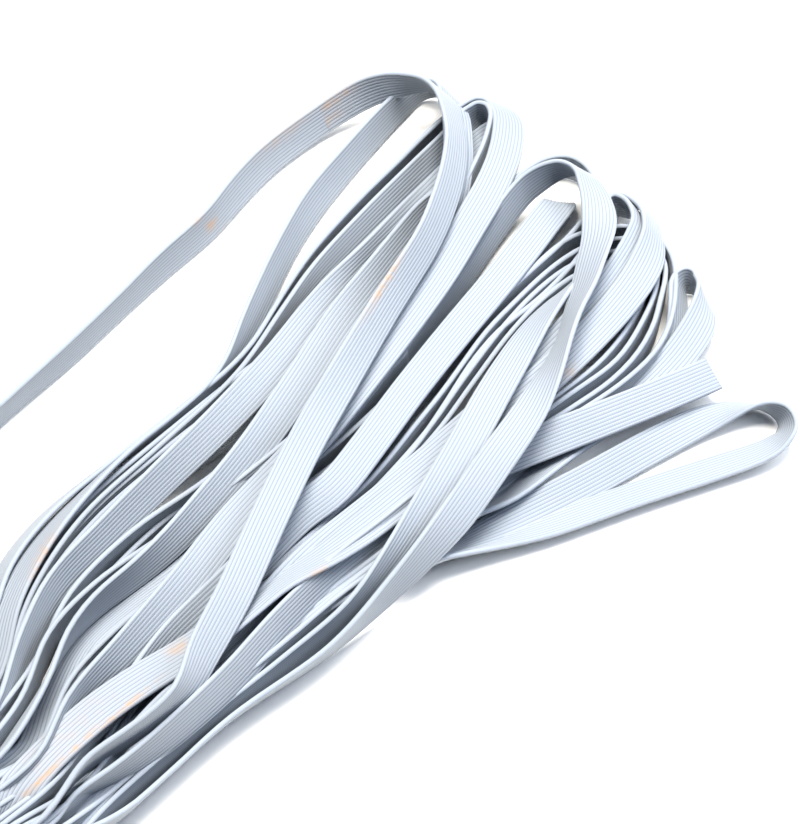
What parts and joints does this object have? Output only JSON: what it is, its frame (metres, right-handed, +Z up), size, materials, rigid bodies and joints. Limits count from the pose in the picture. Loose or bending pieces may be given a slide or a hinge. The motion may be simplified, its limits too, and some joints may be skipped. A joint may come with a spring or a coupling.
{
  "type": "hank of elastic band",
  "caption": "Loose hank of flat ribbed white elastic band, laid in long folds that fan out into open loops, with its cut ends free.",
  "frame": {"origin": "on the flat underside, on the table, under the middle of the bundle as it shows in the picture", "axes": "+X along the hank towards its open fan of loops, +Y across it towards the stray end, +Z up, away from the table"},
  "size_m": [0.3082, 0.1454, 0.0211],
  "materials": {
    "elastic": "matt, ribbed lengthwise"
  },
  "bodies": {
    "root": {"hank": "elastic", "loose_end_left": "elastic", "loose_end_right": "elastic"}
  },
  "joints": []
}
